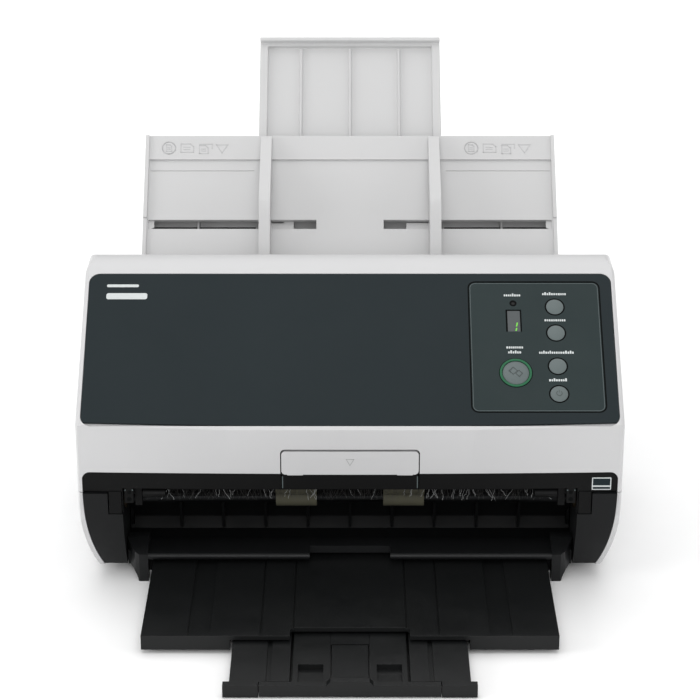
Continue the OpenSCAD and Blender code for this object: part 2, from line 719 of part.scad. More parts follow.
module cover_trim() color(black) {
    end_x = half_w - skin - 0.3;
    difference() {
        intersection() {
            union() {
                along_x(-end_x, end_x) polygon([
                    [front_y + 0.7, 60], [front_y + 6.6, 60], [front_y + 6.6, 62], [front_y + 3.4, 62],
                    [front_y + 3.4, trim_top], [front_y + 0.5, trim_top]]);
                both_sides()
                    block([opening_x - 0.2, front_y + 0.3, seam_z + 0.2], [end_x, front_y + 14, 60.5]);
            }
            linear_extrude(200) plan_outline(0.5);
            along_y(front_y - 1, front_y + 15) round_rect(-end_x, 20, end_x, trim_top, 4.2);
        }
        block([-38, front_y - 1, 50], [38, front_y + 6, 80]);
        // room for the latch's claws
        both_sides() block([113.4, front_y + 2.6, 50], [120.4, front_y + 20, 80]);
    }
    // tabs that hang into the pillars
    both_sides()
        block([opening_x + 0.6, front_y + 1.7, 44.8], [opening_x + 7.4, front_y + 5.2, seam_z + 0.4]);
}

flare = atan2(chute_gap - 2.5, -bend_t - 4);   // the mouth opens by this much towards the hopper
function on_flare_yz(u, v) =
    on_chute_yz(bend_t + u * cos(flare) - v * sin(flare), u * sin(flare) + v * cos(flare));

module upper_guide() color(black) {
    w = paper_w / 2;
    difference() {
        along_x(-w, w) polygon([
            on_path_yz(-84, 1.2), on_path_yz(-0.5, 1.2), on_flare_yz(0.6, 1.6), on_flare_yz(44, 1.6),
            on_flare_yz(44, 3.6), on_flare_yz(1.2, 3.6), on_path_yz(-1.2, 3.4), on_path_yz(-84, 3.4)]);
        on_path() block([-108, -54, 0], [108, -32, 5]);
        both_sides() rod_x(separation_c, separation_r + 1.2, pick_span[0] - 2, pick_span[1] + 2);
        block([-pick_span[0] - 2, separation_c[0] - 4, separation_c[1] - 6],
              [pick_span[0] + 2, separation_c[0] + 4, separation_c[1] + 6]);
        both_sides() rod_x(feed_idler_c, idler_r + 1, feed_span[0] - 1.5, feed_span[1] + 1.5);
        both_sides() rod_x(eject_idler_c, idler_r + 1, eject_span[0] - 1.5, eject_span[1] + 1.5);
    }
}

module idlers(c, r, span) {
    color([0.25, 0.25, 0.25]) both_sides() rod_x(c, r, span[0], span[1]);
    color(steel) rod_x(c, idler_shaft_r, -span[1] - 6, span[1] + 6);
}
module separation_roller() idlers(separation_c, separation_r, pick_span);
module feed_idlers() idlers(feed_idler_c, idler_r, feed_span);
module eject_idlers() idlers(eject_idler_c, idler_r, eject_span);

module antistatic_brush() color([0.3, 0.3, 0.28])
    block([-113, front_y + 5.6, 52.5], [113, front_y + 6.4, 59.8]);

latch_y = front_y + 5.8;
latch_z = 81.5;
module cover_latch() color(white) intersection() {
    along_x(-37.6, 37.6) polygon([[front_y, 69.2], [front_y, 83], [front_y + 3.6, 83], [front_y + 3.6, 80.7],
                                  [front_y + 2.4, 79], [front_y + 2.4, 69.2]]);
    linear_extrude(200) plan_outline();
    along_y(front_y - 1, front_y + 5) round_rect(-37.6, 69.2, 37.6, 83, 2.2);
}

// Dark part behind the latch's plate: the lip below it, the rod and the claws
module latch_bar() color(black) {
    intersection() {
        along_x(-37.4, 37.4) polygon([
            [front_y + 0.6, 60.2], [front_y + 5, 60.2], [front_y + 5, 62], [front_y + 3.4, 63.5],
            [front_y + 4.4, 68], [front_y + 4.4, 77], [front_y + 5.4, 80.6], [front_y + 4.4, 81.2],
            [front_y + 2.4, 79], [front_y + 2.4, 69.2], [front_y + 0.6, 69.2]]);
        linear_extrude(200) plan_outline();
    }
    rod_x([latch_y, latch_z], 1.6, -119, 119);
    both_sides() along_x(115, 118.8) polygon([
        [latch_y - 1.6, latch_z], [latch_y + 1.6, latch_z], [latch_y + 3.8, 60], [latch_y + 3.8, 50],
        [latch_y + 6, 50], [latch_y + 4.6, 47.5], [latch_y + 1, 47.5], [latch_y + 0.6, 60]]);
}

// ---------------------------------------------------------------- chute

module chute_plate() color(light_grey) on_chute() {
    half = chute_w / 2;
    rack_clear = 20;
    difference() {
        union() {
            block([-half, 5, -2.5], [half, chute_len, 0]);
            block([-half, 95.2, -0.5], [half, chute_len, 1.2]);          // raised band at the top
            both_sides() block([half - rim_t, 56.5, -15], [half, chute_len, 2.6]);
            both_sides() block([half - rim_t, 5, -15], [half + 0.0, 56.5, 1.6]);
        }
        // slots for the guides, and a fine groove across the plate
        both_sides() block([rack_clear, slot_t0, -3], [half - rim_t - 0.8, slot_t1, 1]);
        both_sides() block([57.5, 87.6, -0.4], [half - rim_t - 1, 88.4, 1]);
    }
    // boss for the guides' pinion
    translate([0, pinion_t, rack_n1 + 0.15]) cylinder(r = 5, h = -2 - rack_n1 - 0.15);
    translate([0, pinion_t, rack_n0 - 0.3]) cylinder(r = 2.5, h = -2 - rack_n0);
}

module chute_back() color(light_grey) on_chute() {
    half = chute_w / 2 - rim_t - 0.2;
    difference() {
        block([-half, 6, -15], [half, chute_len - 1, -2.5]);
        block([-half + 1.8, 8, -13], [half - 1.8, chute_len - 2.8, 0]);
        block([-ext_w / 2 - 0.6, 60, -12.6], [ext_w / 2 + 0.6, chute_len + 1, ext_top_n + 0.6]);
        block([-ext_w / 2 + 6, 60, -12.6], [ext_w / 2 - 6, chute_len + 1, -2]);
        for (x = [-90 : 12 : 90]) block([x - 1.2, 20, -16], [x + 1.2, 38, -12]);
    }
    // ribs seen through the slots, and tongues that hook into the body
    both_sides() block([90, slot_t0 - 8, -13.5], [91.2, slot_t1 + 8, -7.6]);
    both_sides() block([96, -2, -14], [112, 8.5, -6]);
}

module chute_extension() color(light_grey) on_chute() {
    half = ext_w / 2;
    top = chute_len + extension_out;
    difference() {
        block([-half, top - 92, ext_bottom_n], [half, top, ext_top_n]);
        block([-half + 5, top - 93, ext_bottom_n + 1.8], [half - 5, top - 4.5, 0]);
    }
    // lip along the top edge
    block([-half, top - 2.6, ext_bottom_n], [half, top, -4.2]);
    for (x = [-30, 0, 30])
        block([x - 0.8, top - 88, ext_bottom_n + 1.7], [x + 0.8, top - 6, ext_top_n - 0.6]);
}

// Side outline of a guide: a low fin whose crest lies halfway up the chute
guide_outer = [[4, 0.3], [chute_len - 1.5, 1.5], [chute_len - 1.5, 3.4], [chute_len - 4, 5], [64, 20],
               [58, 20.8], [50, 19.2], [22, 10.5], [4, 9]];
guide_inner = [[5.8, -1], [98, -1], [98, 6], [63.6, 18.1], [58.3, 18.9], [50.9, 17.5], [22.4, 8.6],
               [5.8, 7.1]];
function turned(p) = [2 * pinion_t - p[0], p[1]];   // half a turn round the pinion

// The wall that the sheets' edge runs along, with its arm and rack behind the chute's plate
module paper_guide(turn) {
    x0 = -guide_x - guide_w;
    arm_t = pinion_t + rack_r + 2.2 * rack_module;
    arm_x = rack_x0 - 5;
    difference() {
        along_chute(x0, -guide_x) polygon([for (p = guide_outer) turn ? turned(p) : p]);
        along_chute(x0 + 1.8, -guide_x - 1.8) polygon([for (p = guide_inner) turn ? turned(p) : p]);
    }
    block([x0, slot_t0 + 0.6, rack_n0], [-guide_x, slot_t1 - 0.6, 1]);
    block([x0, slot_t0 + 0.6, rack_n0], [rack_x0 + 1, slot_t1 - 0.6, rack_n1]);
    block([arm_x, slot_t0 + 0.6, rack_n0], [rack_x0 + 1, arm_t + 3, rack_n1]);
    translate([0, pinion_t + rack_r, rack_n0]) linear_extrude(rack_n1 - rack_n0)
        polygon(rack_points(rack_x0, rack_count, rack_module, 4.4));
}
module along_chute(x0, x1) translate([x0, 0, 0]) rotate([90, 0, 90]) linear_extrude(x1 - x0) children();
module left_paper_guide() color(light_grey) on_chute() paper_guide(false);
module right_paper_guide() color(light_grey) on_chute()
    translate([0, 2 * pinion_t, 0]) rotate([0, 0, 180]) paper_guide(true);

module guide_pinion() color(white) on_chute() translate([0, pinion_t, rack_n0]) difference() {
    linear_extrude(rack_n1 - rack_n0) rotate(90) polygon(wheel_points(rack_pinion_teeth, rack_module));
    translate([0, 0, -1]) cylinder(r = 2.5 + run_gap, h = 6);
}

// ---------------------------------------------------------------- stacker

module stacker() color(black) {
    half = stacker_w / 2;
    back = stacker_y + stacker_len;
    slit = 63.4;
    difference() {
        union() {
            block([-half, stacker_y, stacker_top - 2.4], [half, back, stacker_top]);
            // front walls beside the extension's mouth, and side skirts
            both_sides() block([slit, stacker_y, stacker_bottom], [half, stacker_y + 2.4, stacker_top]);
            both_sides() block([half - 2.2, stacker_y, stacker_bottom + 0.2], [half, back, stacker_top - 1]);
            both_sides() block([slit, stacker_y, stacker_bottom], [slit + 2, back - 6, stacker_top - 1]);
            both_sides() block([half - 3.6, front_y - 2, 3.8], [half, back, 5.2]);
        }
        // shallow channels and steps along the top
        both_sides() block([74, stacker_y + 2, stacker_top - 0.9], [86, back + 1, stacker_top + 1]);
        both_sides() block([46.6, stacker_y + 2, stacker_top - 0.7], [47.6, back + 1, stacker_top + 1]);
        both_sides() block([29.6, stacker_y + 2, stacker_top - 0.7], [30.4, back + 1, stacker_top + 1]);
        translate([0, 0, 1]) linear_extrude(20) round_rect(-31.7, stacker_y - 8, 31.7, stacker_y + 9, 2.5);
    }
}

module stacker_extension() color(black) {
    half = stage_w / 2;
    back = stage_y + stage_len;
    low = 2.8;
    difference() {
        union() {
            block([-half + 0.9, stage_y + 2, stage_top - 2], [half - 0.9, back, stage_top]);
            both_sides() block([half - 2.9, stage_y + 2, low], [half - 0.9, back, stage_top - 1]);
            block([-half - 2.4, stage_y, 0.6], [half + 2.4, stage_y + 4.6, stage_top + 0.1]);
        }
        both_sides() block([40.8, stage_y + 4.8, stage_top - 1], [43.2, back + 1, stage_top + 1]);
        // bed of the end extension
        block([-31, stage_y + 4.5, low - 1], [31, back - 12, stage_top + 1]);
        block([-47, stage_y - 1, 0.2], [47, stage_y + 4.7, stage_top + 2]);
    }
    both_sides() block([30.9, stage_y + 4.7, low], [33, back - 12, stage_top - 1]);
    block([-33, stage_y + 4.7, 1.6], [33, back - 14, 2.6]);
    both_sides() block([30.9, stage_y + 4.7, 1.6], [33, back - 14, 3]);
}

module stacker_end() color(black) {
    half = 29.6;
    back = stage_y + stage_len - 14;
    difference() {
        union() {
            block([-half, stage_y + 4.4, 2.9], [half, back, stage_top - 0.4]);
            along_y(stage_y, stage_y + 4.4) polygon([
                [-end_w / 2, 0.9], [end_w / 2, 0.9], [end_w / 2, stage_top], [12, stage_top], [10, stage_top + 2.4],
                [-10, stage_top + 2.4], [-12, stage_top], [-end_w / 2, stage_top]]);
            // ears that carry the stop's pin
            both_sides()
                block([stop_w / 2 + 0.5, stage_y + 6, 3.5], [stop_w / 2 + 2.5, stage_y + 11, stage_top]);
        }
        // two finger windows and the bed of the stop
        both_sides() block([13.8, stage_y + 4.6, 3.9], [26.9, stage_y + 22.8, 10]);
        block([-stop_w / 2 - 0.5, stage_y + 4.2, 3.9], [stop_w / 2 + 0.5, stage_y + 44, 10]);
        both_sides() block([10.1, stage_y + 30, stage_top - 0.9], [10.5, back + 1, stage_top + 1]);
        both_sides() rod_x([stage_y + 8.4, 5.6], 0.85, stop_w / 2, stop_w / 2 + 2.6);
    }
}

module stacker_stop() color(black) {
    c = [stage_y + 8.4, 5.6];
    half = stop_w / 2;
    along_x(-half, half) {
        translate(c) circle(1.5);
        polygon([[c[0], 4.3], [stage_y + 43, 4.3], [stage_y + 43, stage_top - 0.4], [c[0], stage_top - 0.2]]);
    }
    rod_x(c, 0.8, -half - 2.3, half + 2.3);
}

// ---------------------------------------------------------------- assembly

base_tray();
left_side_cover();
right_side_cover();
left_front_pillar();
right_front_pillar();
rear_cover();
exit_deck();
lower_guide();
lower_optical_unit();
lower_glass();
main_frame();
shaft_bushes();
feed_motor();
main_board();
rear_sockets();
rubber_feet();
case_screws();
hinge_pins();
drive_belt();
chute_plate();
chute_back();
chute_extension();
left_paper_guide();
right_paper_guide();
guide_pinion();
pick_shaft();
pick_rollers();
pick_pulley();
feed_shaft();
feed_rollers();
feed_gear();
eject_shaft();
eject_rollers();
eject_pulley();
motor_pinion();
cover_shell();
cover_panel();
control_panel();
display_window();
status_lamp();
cover_trim();
upper_guide();
upper_optical_unit();
upper_glass();
antistatic_brush();
scan_ring();
separation_roller();
feed_idlers();
eject_idlers();
scan_button();
function_button();
send_button();
manual_feed_button();
power_button();
cover_latch();
latch_bar();
stacker();
stacker_extension();
stacker_end();
stacker_stop();
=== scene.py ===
"""Looks of the sheet-fed document scanner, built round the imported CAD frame.

Nodes and the camera are in metres. Pieces made of mesh code are drawn in millimetres, on axes
that slope_frame, face_at, front_patch or front_at gives, and piece() turns them into metres."""
import json
import math
import random

import bmesh
import bpy
from mathutils import Matrix, Vector
from mathutils.bvhtree import BVHTree


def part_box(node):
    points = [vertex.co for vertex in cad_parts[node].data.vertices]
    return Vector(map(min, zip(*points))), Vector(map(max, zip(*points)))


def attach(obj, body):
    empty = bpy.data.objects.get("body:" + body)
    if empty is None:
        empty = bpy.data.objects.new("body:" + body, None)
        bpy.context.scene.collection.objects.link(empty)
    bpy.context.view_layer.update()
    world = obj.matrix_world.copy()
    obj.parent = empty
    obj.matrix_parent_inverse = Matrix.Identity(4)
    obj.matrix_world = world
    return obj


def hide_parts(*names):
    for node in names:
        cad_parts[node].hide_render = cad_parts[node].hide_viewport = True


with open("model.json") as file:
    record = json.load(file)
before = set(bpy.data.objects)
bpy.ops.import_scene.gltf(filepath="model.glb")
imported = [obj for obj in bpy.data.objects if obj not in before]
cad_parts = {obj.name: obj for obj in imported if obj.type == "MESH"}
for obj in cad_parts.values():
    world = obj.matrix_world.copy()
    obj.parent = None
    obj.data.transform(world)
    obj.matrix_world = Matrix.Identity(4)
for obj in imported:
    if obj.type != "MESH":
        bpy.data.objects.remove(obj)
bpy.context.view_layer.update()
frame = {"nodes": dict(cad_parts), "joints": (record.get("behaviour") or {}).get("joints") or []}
nodes = frame["nodes"]
rng = random.Random(41)
MM = 0.001

# ------------------------------------------------------------------ materials


def new_material(name):
    mat = bpy.data.materials.new(name)
    mat.use_nodes = True
    tree = mat.node_tree
    tree.nodes.clear()
    out = tree.nodes.new("ShaderNodeOutputMaterial")
    bsdf = tree.nodes.new("ShaderNodeBsdfPrincipled")
    tree.links.new(bsdf.outputs["BSDF"], out.inputs["Surface"])
    return mat, tree, bsdf


def add(tree, kind, **sockets):
    """A new node with some of its sockets set."""
    node = tree.nodes.new(kind)
    for key, value in sockets.items():
        node.inputs[key.replace("_", " ")].default_value = value
    return node


def coords(tree, scale=(1.0, 1.0, 1.0)):
    """The object's own coordinates in metres, stretched by scale."""
    tex = tree.nodes.new("ShaderNodeTexCoord")
    mapping = tree.nodes.new("ShaderNodeMapping")
    mapping.inputs["Scale"].default_value = scale
    tree.links.new(tex.outputs["Object"], mapping.inputs["Vector"])
    return mapping.outputs["Vector"]


def noise(tree, vector, scale, detail=2.0, rough=0.5):
    node = add(tree, "ShaderNodeTexNoise", Scale=scale, Detail=detail, Roughness=rough)
    tree.links.new(vector, node.inputs["Vector"])
    return node.outputs["Fac"]


def ramp(tree, value, low, high, to_low, to_high):
    """A value between low and high, spread out from to_low to to_high."""
    node = tree.nodes.new("ShaderNodeMapRange")
    node.inputs["From Min"].default_value = low
    node.inputs["From Max"].default_value = high
    node.inputs["To Min"].default_value = to_low
    node.inputs["To Max"].default_value = to_high
    tree.links.new(value, node.inputs["Value"])
    return node.outputs["Result"]


MIX_A = 6          # sockets of a Mix node that mixes colours
MIX_B = 7
MIX_RESULT = 2


def mix_color(tree, factor, a, b):
    """Colour a where factor is 0, and b where it is 1."""
    node = tree.nodes.new("ShaderNodeMix")
    node.data_type = "RGBA"
    node.inputs[MIX_A].default_value = (*a, 1)
    node.inputs[MIX_B].default_value = (*b, 1)
    tree.links.new(factor, node.inputs["Factor"])
    return node.outputs[MIX_RESULT]


def shade(color, gain):
    return tuple(min(1.0, c * gain) for c in color)


SHADE_FADE_LENGTH = 0.012   # over which the painted shade fades in


def plastic(name, color, rough, grain=900.0, bump=0.12, spread=0.05, gloss_spread=0.08, coat=0.0,
            stretch=(1, 1, 1), spec=0.5, painted_shade_from=None):
    """Moulded plastic: fine spark-eroded grain, faint mottling, uneven gloss and duller worn patches.

    Given a y to shade from, the colour darkens behind it, deeper inside the part: painted shade."""
    mat, tree, bsdf = new_material(name)
    vector = coords(tree, stretch)
    fine = noise(tree, vector, grain, 3.0, 0.6)
    broad = noise(tree, vector, 14.0, 4.0, 0.55)
    smudge = noise(tree, vector, 55.0, 5.0, 0.65)
    tint = ramp(tree, broad, 0.3, 0.7, 0.0, 1.0)
    mottled = mix_color(tree, tint, shade(color, 1 - spread), shade(color, 1 + spread))
    # painted shade: darker behind the given y, deep inside the part
    if painted_shade_from is not None:
        split = tree.nodes.new("ShaderNodeSeparateXYZ")
        tree.links.new(coords(tree), split.inputs["Vector"])
        shade_mask = ramp(tree, split.outputs["Y"], painted_shade_from, painted_shade_from + SHADE_FADE_LENGTH, 0.0, 1.0)
        shaded = mix_color(tree, shade_mask, (0, 0, 0), shade(color, 0.45))
        tree.links.new(mottled, shaded.node.inputs[MIX_A])
        mottled = shaded
    tree.links.new(mottled, bsdf.inputs["Base Color"])
    worn = ramp(tree, smudge, 0.35, 0.75, rough - gloss_spread, rough + gloss_spread)
    tree.links.new(worn, bsdf.inputs["Roughness"])
    bumped = add(tree, "ShaderNodeBump", Strength=bump, Distance=0.0004)
    tree.links.new(fine, bumped.inputs["Height"])
    tree.links.new(bumped.outputs["Normal"], bsdf.inputs["Normal"])
    bsdf.inputs["Coat Weight"].default_value = coat
    bsdf.inputs["Coat Roughness"].default_value = 0.25
    bsdf.inputs["IOR"].default_value = 1.48
    bsdf.inputs["Specular IOR Level"].default_value = spec
    return mat


def metal(name, color, rough, stretch):
    """Rolled or turned metal with fine lines along one direction."""
    mat, tree, bsdf = new_material(name)
    vector = coords(tree, stretch)
    lines = noise(tree, vector, 300.0, 3.0, 0.6)
    tint = mix_color(tree, lines, shade(color, 0.86), shade(color, 1.08))
    tree.links.new(tint, bsdf.inputs["Base Color"])
    tree.links.new(ramp(tree, lines, 0.3, 0.7, rough - 0.08, rough + 0.1), bsdf.inputs["Roughness"])
    bumped = add(tree, "ShaderNodeBump", Strength=0.1, Distance=0.0002)
    tree.links.new(lines, bumped.inputs["Height"])
    tree.links.new(bumped.outputs["Normal"], bsdf.inputs["Normal"])
    bsdf.inputs["Metallic"].default_value = 1.0
    return mat


def rubber(name, color, rough=0.75):
    """Rubber with fine grooves round the roller and dusty patches."""
    mat, tree, bsdf = new_material(name)
    vector = coords(tree)
    wave = add(tree, "ShaderNodeTexWave", Scale=420.0, Distortion=0.3, Detail=1.0)
    tree.links.new(vector, wave.inputs["Vector"])
    dust = noise(tree, vector, 160.0, 4.0, 0.7)
    tint = mix_color(tree, dust, shade(color, 0.8), shade(color, 1.35))
    tree.links.new(tint, bsdf.inputs["Base Color"])
    tree.links.new(ramp(tree, dust, 0.3, 0.7, rough - 0.1, rough + 0.12), bsdf.inputs["Roughness"])
    bumped = add(tree, "ShaderNodeBump", Strength=0.25, Distance=0.0003)
    tree.links.new(wave.outputs["Fac"], bumped.inputs["Height"])
    tree.links.new(bumped.outputs["Normal"], bsdf.inputs["Normal"])
    return mat


def glowing(name, color, strength, rough=0.3):
    """Translucent plastic lit from behind, brighter in the middle of its cells."""
    mat, tree, bsdf = new_material(name)
    vector = coords(tree)
    cells = noise(tree, vector, 700.0, 2.0)
    tint = mix_color(tree, cells, shade(color, 0.85), shade(color, 1.15))
    tree.links.new(tint, bsdf.inputs["Base Color"])
    tree.links.new(tint, bsdf.inputs["Emission Color"])
    tree.links.new(ramp(tree, cells, 0.3, 0.7, rough - 0.05, rough + 0.05), bsdf.inputs["Roughness"])
    bsdf.inputs["Emission Strength"].default_value = strength
    return mat


def clear_glass(name):
    """Scanner glass with a little haze on it."""
    mat, tree, bsdf = new_material(name)
    vector = coords(tree)
    haze = noise(tree, vector, 60.0, 4.0)
    tree.links.new(ramp(tree, haze, 0.4, 0.8, 0.02, 0.09), bsdf.inputs["Roughness"])
    tint = mix_color(tree, haze, (0.75, 0.82, 0.80), (0.80, 0.86, 0.84))
    tree.links.new(tint, bsdf.inputs["Base Color"])
    bsdf.inputs["Transmission Weight"].default_value = 0.9
    bsdf.inputs["IOR"].default_value = 1.5
    return mat


WHITE = plastic("white_shell", (0.545, 0.545, 0.55), 0.40, grain=1500.0, bump=0.05, spread=0.012,
                gloss_spread=0.05)
CHUTE = plastic("light_shell", (0.52, 0.52, 0.522), 0.45, grain=1300.0, bump=0.06, spread=0.015,
                gloss_spread=0.05)
SLATE = plastic("slate_panel", (0.0140, 0.0205, 0.0232), 0.50, grain=1600.0, bump=0.10, gloss_spread=0.05,
                spec=0.12)
INSET = plastic("control_inset", (0.0185, 0.0290, 0.0300), 0.46, grain=1700.0, bump=0.08, spec=0.15)
BLACK = plastic("black_plastic", (0.0075, 0.008, 0.0085), 0.46, grain=1200.0, bump=0.14, spread=0.10,
                spec=0.16)
TRAY = plastic("tray_plastic", (0.0072, 0.0078, 0.0080), 0.34, grain=1100.0, spread=0.10,
               gloss_spread=0.06, spec=0.26)
TRIM = plastic("trim_black", (0.0048, 0.0049, 0.0050), 0.42, grain=1200.0, spread=0.10, spec=0.10)
# a darker copy of the black plastic for the parts inside the body and the brush clamp: painted shade
CAVITY_SHADE = plastic("inner_black_painted_shade", (0.0045, 0.0046, 0.0047), 0.55, grain=1200.0, bump=0.14, spread=0.12,
                 spec=0.05)
BAR_DEPTH = 0.012   # of the paper exit's front bar, in front of the inner wall, which gets painted shade
# the exit deck darkens behind its front bar: painted shade on the inner wall
DECK = plastic("deck_black_shaded_inside", (0.0080, 0.0085, 0.0090), 0.36, grain=1200.0, spread=0.10, gloss_spread=0.06,
               spec=0.22, painted_shade_from=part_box("exit_deck")[0].y + BAR_DEPTH)
KEYS = plastic("key_grey", (0.108, 0.132, 0.132), 0.45, grain=1600.0, bump=0.06, spread=0.03, spec=0.3)
RING = glowing("ring_green", (0.0, 0.090, 0.032), 0.05, 0.6)
SEGMENT = glowing("segment_green", (0.10, 0.42, 0.02), 0.5)
LENS = plastic("window_dark", (0.062, 0.070, 0.073), 0.16, grain=400.0, bump=0.01, spread=0.06,
               gloss_spread=0.03, coat=0.1, spec=0.25)
LAMP = plastic("lamp_dark", (0.004, 0.0045, 0.0045), 0.2, grain=400.0, bump=0.01, gloss_spread=0.03,
               spec=0.2)
LABEL = plastic("label_dark", (0.012, 0.020, 0.024), 0.5, bump=0.02, gloss_spread=0.03, spec=0.1)
# near black for the gaps round keys and the control inset, the display window's sides and the brush blocks'
# holes: painted shade
GAP = plastic("gap_painted_shade", (0.0035, 0.004, 0.004), 0.7, grain=1500.0, bump=0.05, spread=0.2, spec=0.05)
# light slate grey: the colour of the pins on the brush blocks, and a painted highlight on the inset's inner
# edge and the lip's ends
RIM = plastic("slate_and_painted_highlight", (0.085, 0.105, 0.107), 0.5, grain=1500.0, bump=0.05, spec=0.2)
DEEP = plastic("mark_dark", (0.060, 0.072, 0.072), 0.5, grain=1800.0, bump=0.05, spread=0.10, spec=0.2)
# darker than the chute plastic: painted shade on the raised marks
RELIEF = plastic("relief_painted_shade", (0.455, 0.455, 0.46), 0.5, grain=1300.0, bump=0.05, spread=0.02)
SLOT = plastic("slot_shade", (0.035, 0.035, 0.037), 0.6, grain=1300.0, bump=0.06, spec=0.1)
PRINT = plastic("pale_print", (0.55, 0.58, 0.58), 0.55, grain=2500.0, bump=0.05, spread=0.04)
# grey for printed marks, and painted glints on some brush fibres
MARK = plastic("grey_print_and_glint", (0.36, 0.37, 0.37), 0.55, grain=2500.0, bump=0.05, spread=0.04)
ROLLER = rubber("roller_rubber", (0.048, 0.046, 0.028))
FOOT = rubber("foot_rubber", (0.012, 0.012, 0.012), 0.8)
STEEL = metal("steel", (0.55, 0.56, 0.57), 0.32, (0.1, 1.0, 1.0))
DARK_STEEL = metal("dark_steel", (0.014, 0.0145, 0.015), 0.5, (0.1, 1.0, 1.0))
# darker than brass: partly the dark tone of sintered bronze, partly painted shade on bushes deep inside
BRASS = metal("brass", (0.030, 0.024, 0.016), 0.6, (0.2, 1.0, 1.0))
GLASS = clear_glass("glass")
BOARD = plastic("board_green", (0.012, 0.075, 0.035), 0.35, grain=500.0, bump=0.1, spread=0.08)
BRISTLE = plastic("bristle", (0.014, 0.013, 0.012), 0.5, grain=3000.0, bump=0.2, spread=0.3,
                  stretch=(1, 1, 0.1))
FLOOR = plastic("pale_floor", (0.95, 0.95, 0.95), 0.6, grain=60.0, bump=0.02, spread=0.01, spec=0.1)

BY_NODE = {
    WHITE: "left_side_cover right_side_cover rear_cover cover_shell cover_latch",
    CHUTE: "chute_plate chute_back chute_extension left_paper_guide right_paper_guide guide_pinion",
    SLATE: "cover_panel",
    INSET: "control_panel",
    BLACK: "base_tray left_front_pillar right_front_pillar rear_sockets pick_pulley feed_gear eject_pulley",
    DECK: "exit_deck",
    TRIM: "cover_trim latch_bar",
    CAVITY_SHADE: "lower_guide lower_optical_unit upper_guide upper_optical_unit",
    TRAY: "stacker stacker_extension stacker_end stacker_stop",
    KEYS: "scan_button function_button send_button manual_feed_button power_button",
    RING: "scan_ring",
    LENS: "display_window",
    LAMP: "status_lamp",
    ROLLER: "pick_rollers feed_rollers eject_rollers drive_belt separation_roller feed_idlers eject_idlers",
    FOOT: "rubber_feet",
    STEEL: "feed_motor case_screws hinge_pins pick_shaft feed_shaft",
    DARK_STEEL: "main_frame eject_shaft",
    BRASS: "shaft_bushes motor_pinion",
    GLASS: "lower_glass upper_glass",
    BOARD: "main_board",
    BRISTLE: "antistatic_brush",
}
for mat, names in BY_NODE.items():
    for name in names.split():
        nodes[name].data.materials.clear()
        nodes[name].data.materials.append(mat)

# ------------------------------------------------------------------ rounded edges on the CAD nodes

# width in millimetres, then the nodes
BEVELS = {
    1.2: "cover_shell left_side_cover right_side_cover",
    1.0: "exit_deck",
    0.9: "left_paper_guide right_paper_guide",
    0.8: "rubber_feet",
    0.7: "left_front_pillar right_front_pillar stacker",
    0.6: "cover_trim chute_back chute_extension base_tray stacker_extension",
    0.5: "cover_panel chute_plate cover_latch stacker_end",
    0.4: "control_panel pick_rollers feed_rollers eject_rollers",
    0.35: "scan_button function_button send_button manual_feed_button power_button",
    0.3: "stacker_stop rear_sockets",
    0.25: "rear_cover",
    0.2: "latch_bar scan_ring display_window lower_guide upper_guide",
}
CREASE = math.radians(28)   # edges that bend more than this are rounded
WELD_GAP = 0.02             # vertices of neighbouring faces are joined first


def round_edges(obj, width):
    """Rounds a node's hard edges and smooths its shading."""
    weld = obj.modifiers.new("weld", "WELD")
    weld.merge_threshold = WELD_GAP * MM
    bevel = obj.modifiers.new("bevel", "BEVEL")
    bevel.width = width * MM
    bevel.segments = 3
    bevel.limit_method = "ANGLE"
    bevel.angle_limit = CREASE
    bevel.use_clamp_overlap = True
    bevel.harden_normals = False
    for poly in obj.data.polygons:
        poly.use_smooth = True
    obj.modifiers.new("normals", "WEIGHTED_NORMAL").keep_sharp = True


for width, names in BEVELS.items():
    for name in names.split():
        round_edges(nodes[name], width)

# ------------------------------------------------------------------ helpers for pieces made of mesh code

X_AXIS = Vector((1, 0, 0))
Z_AXIS = Vector((0, 0, 1))
SIDES = ((-1, "left"), (1, "right"))


def joint(name):
    return next(j for j in frame["joints"] if j["name"] == name)


def slope_frame(origin, normal):
    """Local axes on a sloping face: x across, y up the slope, z out of it."""
    n = Vector(normal).normalized()
    place = Matrix((X_AXIS, n.cross(X_AXIS), n)).transposed().to_4x4()
    place.translation = origin
    return place


def reach(node, direction):
    """How far a node's vertices reach along a direction."""
    return max(v.co.dot(direction) for v in nodes[node].data.vertices)


def hit(node, origin, direction):
    """Where a ray meets a node, and the surface's normal there."""
    mesh = nodes[node].data
    tree = BVHTree.FromPolygons([v.co for v in mesh.vertices], [p.vertices for p in mesh.polygons])
    place, normal, _, _ = tree.ray_cast(Vector(origin), Vector(direction))
    return place, normal


def front_patch(node, x, z):
    """Axes on a node's front at x and z: x across, y up, z out of the surface."""
    place, normal = hit(node, (x, -1, z), (0, 1, 0))
    return slope_frame(place, normal)


def middle(node):
    low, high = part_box(node)
    return (low + high) / 2


def prism(bm, outline, low, high):
    """An outline in x and y, drawn out from z = low to z = high. All in millimetres."""
    bottom = [bm.verts.new((x, y, low)) for x, y in outline]
    top = [bm.verts.new((x, y, high)) for x, y in outline]
    bm.faces.new(bottom[::-1])
    bm.faces.new(top)
    for i in range(len(outline)):
        j = (i + 1) % len(outline)
        bm.faces.new((bottom[i], bottom[j], top[j], top[i]))


def rectangle(x0, y0, x1, y1):
    """Outline of a plain rectangle."""
    return [(x0, y0), (x1, y0), (x1, y1), (x0, y1)]


